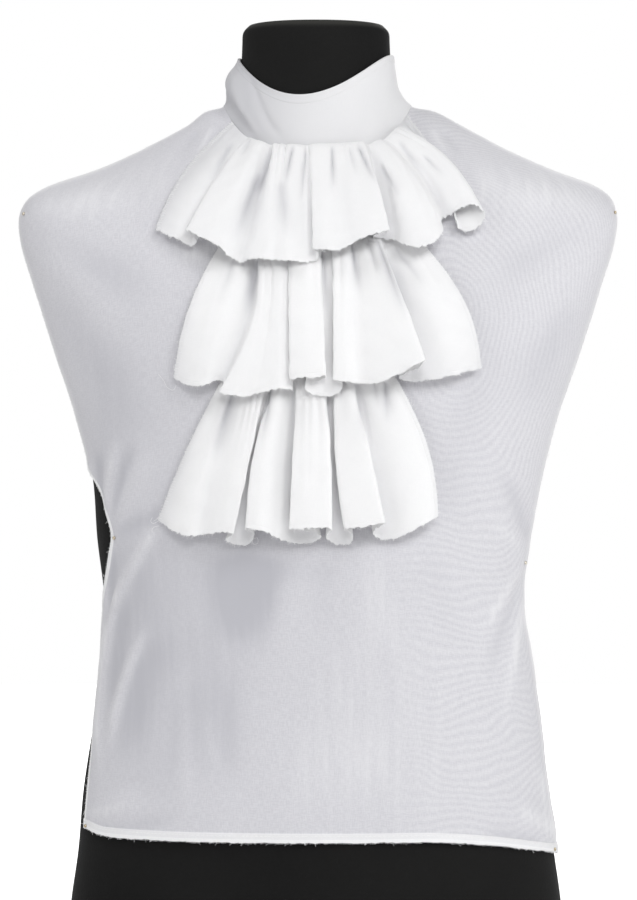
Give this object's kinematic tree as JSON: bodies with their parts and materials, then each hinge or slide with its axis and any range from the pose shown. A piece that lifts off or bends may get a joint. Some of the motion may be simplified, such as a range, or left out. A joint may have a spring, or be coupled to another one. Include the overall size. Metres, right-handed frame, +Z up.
{
  "type": "jabot on a dress form",
  "caption": "Sheer cloth bib with a stand collar and gathered ruffles down the front, worn by a black limbless torso form that stands on its flat base.",
  "frame": {"origin": "middle of the form's flat base", "axes": "+Z up, the front with the ruffles faces -Y, +X to the right of a viewer who faces the front"},
  "size_m": [0.4781, 0.2695, 0.738],
  "materials": {
    "form_jersey": "matte black stretch jersey over the form",
    "sheer_cotton": "thin white plain-weave cotton that the black form shows through as a pale cool grey",
    "white_cotton": "matte white cotton, opaque where it is doubled or gathered"
  },
  "bodies": {
    "root": {"torso_form": "form_jersey", "bib_front": "sheer_cotton", "collar": "white_cotton", "ruffle_top": "white_cotton", "ruffle_middle": "white_cotton", "ruffle_bottom": "white_cotton"}
  },
  "joints": []
}
